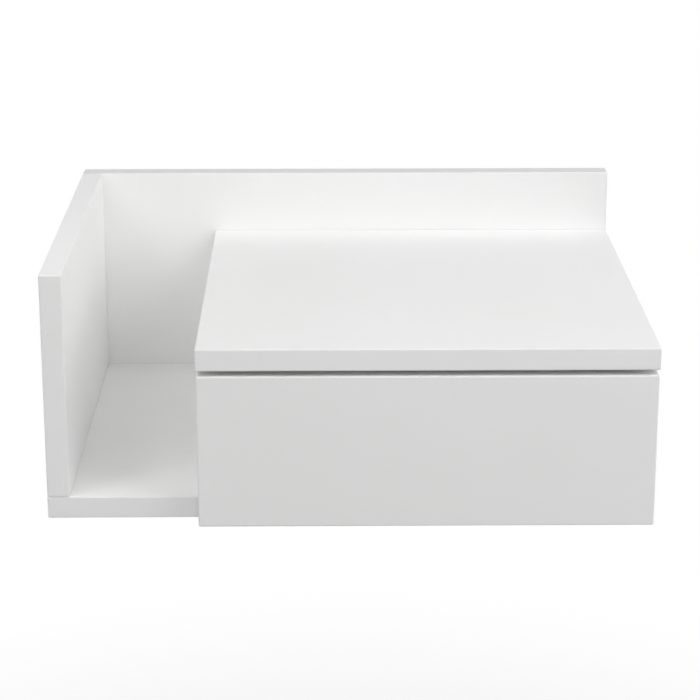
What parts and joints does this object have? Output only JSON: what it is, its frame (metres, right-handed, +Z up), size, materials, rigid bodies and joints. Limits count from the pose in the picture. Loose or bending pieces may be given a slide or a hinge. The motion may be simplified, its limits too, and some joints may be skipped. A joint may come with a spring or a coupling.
{
  "type": "floating nightstand",
  "caption": "Wall-hung white nightstand with an open pocket beside a handle-less drawer on roller runners, a push latch, and a low upstand behind the top.",
  "frame": {"origin": "centre of the back board's rear face, which lies on the wall, at half the cabinet's height", "axes": "+X to the right as seen from the front, +Y into the wall, +Z up; the drawer opens towards -Y"},
  "size_m": [0.4, 0.32, 0.167],
  "materials": {
    "white_lacquer": "white semi-gloss lacquer on fibreboard, edges lightly rounded",
    "white_foil": "white melamine foil on chipboard",
    "white_hardboard": "white painted hardboard",
    "zinc_steel": "bright zinc plated steel",
    "cast_zinc": "bare die-cast zinc",
    "spring_steel": "drawn spring wire",
    "runner_enamel": "white baked enamel on folded sheet",
    "roller_nylon": "moulded nylon",
    "beech": "fluted beech",
    "grey_plastic": "moulded plastic"
  },
  "bodies": {
    "cabinet": {"back_panel": "white_lacquer", "back_screw_divider": "zinc_steel", "back_screw_left_lower": "zinc_steel", "back_screw_left_upper": "zinc_steel", "back_screw_right": "zinc_steel", "back_screw_top_left": "zinc_steel", "back_screw_top_right": "zinc_steel", "bottom_panel": "white_lacquer", "bottom_screw_divider_front": "zinc_steel", "bottom_screw_divider_rear": "zinc_steel", "bottom_screw_left_front": "zinc_steel", "bottom_screw_left_rear": "zinc_steel", "bottom_screw_right_front": "zinc_steel", "bottom_screw_right_rear": "zinc_steel", "cabinet_roller_pin_left": "zinc_steel", "cabinet_roller_pin_right": "zinc_steel", "cabinet_runner_left": "runner_enamel", "cabinet_runner_right": "runner_enamel", "cabinet_runner_screw_left_front": "zinc_steel", "cabinet_runner_screw_left_rear": "zinc_steel", "cabinet_runner_screw_right_front": "zinc_steel", "cabinet_runner_screw_right_rear": "zinc_steel", "divider_panel": "white_lacquer", "latch_housing": "grey_plastic", "latch_screw_left": "zinc_steel", "latch_screw_right": "zinc_steel", "latch_spring": "spring_steel", "left_side_panel": "white_lacquer", "right_side_panel": "white_lacquer", "top_dowel_left_front": "beech", "top_dowel_left_rear": "beech", "top_dowel_right_front": "beech", "top_dowel_right_rear": "beech", "top_panel": "white_lacquer"},
    "drawer": {"drawer_back": "white_foil", "drawer_back_screw_left_lower": "zinc_steel", "drawer_back_screw_left_upper": "zinc_steel", "drawer_back_screw_right_lower": "zinc_steel", "drawer_back_screw_right_upper": "zinc_steel", "drawer_bottom": "white_hardboard", "drawer_cam_bolt_left": "zinc_steel", "drawer_cam_bolt_right": "zinc_steel", "drawer_cam_left": "cast_zinc", "drawer_cam_right": "cast_zinc", "drawer_front": "white_lacquer", "drawer_roller_pin_left": "zinc_steel", "drawer_roller_pin_right": "zinc_steel", "drawer_runner_left": "runner_enamel", "drawer_runner_right": "runner_enamel", "drawer_runner_screw_left_front": "zinc_steel", "drawer_runner_screw_left_rear": "zinc_steel", "drawer_runner_screw_right_front": "zinc_steel", "drawer_runner_screw_right_rear": "zinc_steel", "drawer_side_left": "white_foil", "drawer_side_right": "white_foil"},
    "cabinet_roller_left": {"cabinet_roller_left": "roller_nylon"},
    "cabinet_roller_right": {"cabinet_roller_right": "roller_nylon"},
    "drawer_roller_left": {"drawer_roller_left": "roller_nylon"},
    "drawer_roller_right": {"drawer_roller_right": "roller_nylon"},
    "latch_plunger": {"latch_plunger": "grey_plastic"}
  },
  "joints": [
    {"name": "drawer_slide", "type": "slide", "parent": "cabinet", "child": "drawer", "axis": [0, -1, 0], "range_m": [0, 0.19]},
    {"name": "cabinet_roller_left_spin", "type": "hinge", "parent": "cabinet", "child": "cabinet_roller_left", "pos_m": [-0.079, -0.282, -0.0506], "axis": [1, 0, 0], "continuous": true},
    {"name": "cabinet_roller_right_spin", "type": "hinge", "parent": "cabinet", "child": "cabinet_roller_right", "pos_m": [0.179, -0.282, -0.0506], "axis": [1, 0, 0], "continuous": true},
    {"name": "drawer_roller_left_spin", "type": "hinge", "parent": "drawer", "child": "drawer_roller_left", "pos_m": [-0.0785, -0.074, -0.0506], "axis": [1, 0, 0], "continuous": true},
    {"name": "drawer_roller_right_spin", "type": "hinge", "parent": "drawer", "child": "drawer_roller_right", "pos_m": [0.1785, -0.074, -0.0506], "axis": [1, 0, 0], "continuous": true},
    {"name": "latch_plunger_slide", "type": "slide", "parent": "cabinet", "child": "latch_plunger", "axis": [0, -1, 0], "range_m": [0, 0.01], "deforming": ["latch_spring"]}
  ],
  "couplings": [
    {"joint": "cabinet_roller_left_spin", "follows": "drawer_slide", "rad_per_m": 117.65},
    {"joint": "cabinet_roller_right_spin", "follows": "drawer_slide", "rad_per_m": 117.65},
    {"joint": "drawer_roller_left_spin", "follows": "drawer_slide", "rad_per_m": 117.65},
    {"joint": "drawer_roller_right_spin", "follows": "drawer_slide", "rad_per_m": 117.65},
    {"joint": "latch_plunger_slide", "follows": "drawer_slide", "ratio": 0.052632}
  ]
}
